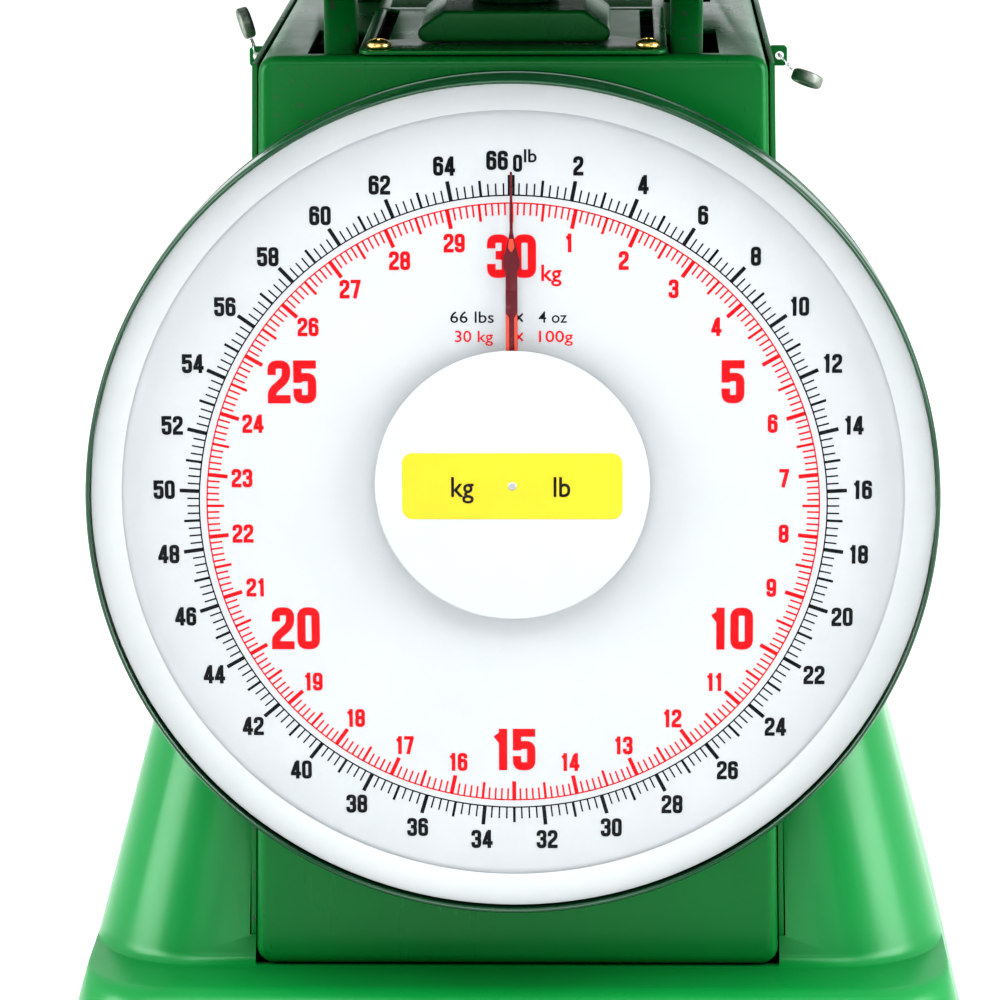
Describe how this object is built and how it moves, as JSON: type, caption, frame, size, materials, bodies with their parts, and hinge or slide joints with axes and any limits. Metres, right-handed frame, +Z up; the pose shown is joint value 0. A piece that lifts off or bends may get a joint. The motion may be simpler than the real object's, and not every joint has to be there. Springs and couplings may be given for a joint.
{
  "type": "mechanical dial platform scale",
  "caption": "Spring platform scale with a large round twin-scale dial on a sheet-steel column, square pan on four posts and a stepped, flared base.",
  "frame": {"origin": "on the table under the middle of the whole scale's box", "axes": "+Z up, the dial faces -Y, +X to the right as the dial is read"},
  "size_m": [0.268, 0.251, 0.35],
  "materials": {
    "green_paint": "semi-gloss enamel",
    "white_enamel": "satin white enamel",
    "dial_print": "satin white enamel with printed scales",
    "pointer_red": "satin red enamel",
    "dial_glass": "clear",
    "steel": "brushed",
    "dark_steel": "black oxide",
    "brass": "plated",
    "rubber": "matte",
    "seal_metal": "dull lead",
    "knob_plastic": "moulded"
  },
  "bodies": {
    "housing": {"base_skirt": "green_paint", "base_plate": "dark_steel", "foot_front_left": "rubber", "foot_front_right": "rubber", "foot_rear_left": "rubber", "foot_rear_right": "rubber", "column_housing": "green_paint", "front_cover": "green_paint", "rear_cover": "green_paint", "rear_cover_screw_upper_left": "steel", "rear_cover_screw_upper_right": "steel", "rear_cover_screw_lower_left": "steel", "rear_cover_screw_lower_right": "steel", "dial_drum": "green_paint", "bezel_ring": "green_paint", "dial_glass": "dial_glass", "dial_surround": "white_enamel", "dial_plate": "dial_print", "centre_disc": "white_enamel", "movement_plate_front": "brass", "movement_plate_rear": "brass", "movement_pillar_upper_left": "steel", "movement_pillar_upper_right": "steel", "movement_pillar_lower_left": "steel", "movement_pillar_lower_right": "steel", "spring_hanger": "dark_steel", "main_spring_left": "steel", "main_spring_right": "steel", "pivot_bracket_left": "dark_steel", "pivot_bracket_right": "dark_steel", "upper_link_shaft": "dark_steel", "lower_link_shaft": "dark_steel", "hanger_screw_left": "brass", "hanger_screw_right": "brass", "hanger_plate": "green_paint", "rack_hood": "green_paint", "seal_tab_left": "green_paint", "seal_tab_right": "green_paint", "seal_wire_left": "seal_metal", "seal_wire_right": "seal_metal", "lead_seal_left": "seal_metal", "lead_seal_right": "seal_metal"},
    "platform": {"side_frame_left": "green_paint", "side_frame_right": "green_paint", "lower_crossbar": "steel", "rack_beam": "steel", "rack": "steel", "pan_spider": "green_paint", "weighing_pan": "steel", "pan_pad_front_left": "rubber", "pan_pad_front_right": "rubber", "pan_pad_rear_left": "rubber", "pan_pad_rear_right": "rubber"},
    "pointer_set": {"pointer": "pointer_red", "pointer_hub": "brass", "pinion_arbor": "steel"},
    "upper_link_arm": {"upper_link": "steel"},
    "lower_link_arm": {"lower_link": "steel"},
    "knob": {"zero_knob": "knob_plastic"}
  },
  "joints": [
    {"name": "platform_press", "type": "slide", "parent": "housing", "child": "platform", "axis": [0, 0, -1], "range_m": [0, 0.0132], "stiffness_N_per_m": 22300, "springref_m": -0.0014, "deforming": ["main_spring_left", "main_spring_right"]},
    {"name": "pointer_turn", "type": "hinge", "parent": "housing", "child": "pointer_set", "pos_m": [0, 0, 0.1907], "axis": [0, 1, 0], "range_deg": [0, 360]},
    {"name": "upper_link_swing", "type": "hinge", "parent": "housing", "child": "upper_link_arm", "pos_m": [0, 0.066, 0.282], "axis": [1, 0, 0], "range_deg": [0, 5.4]},
    {"name": "lower_link_swing", "type": "hinge", "parent": "housing", "child": "lower_link_arm", "pos_m": [0, 0.066, 0.158], "axis": [1, 0, 0], "range_deg": [0, 5.4]},
    {"name": "zero_knob_turn", "type": "hinge", "parent": "housing", "child": "knob", "pos_m": [0, -0.0475, 0.33], "axis": [0, 0, 1], "range_deg": [-180, 180]}
  ],
  "couplings": [
    {"joint": "pointer_turn", "follows": "platform_press", "rad_per_m": 475.9},
    {"joint": "upper_link_swing", "follows": "platform_press", "rad_per_m": 7.067},
    {"joint": "lower_link_swing", "follows": "platform_press", "rad_per_m": 7.067}
  ]
}
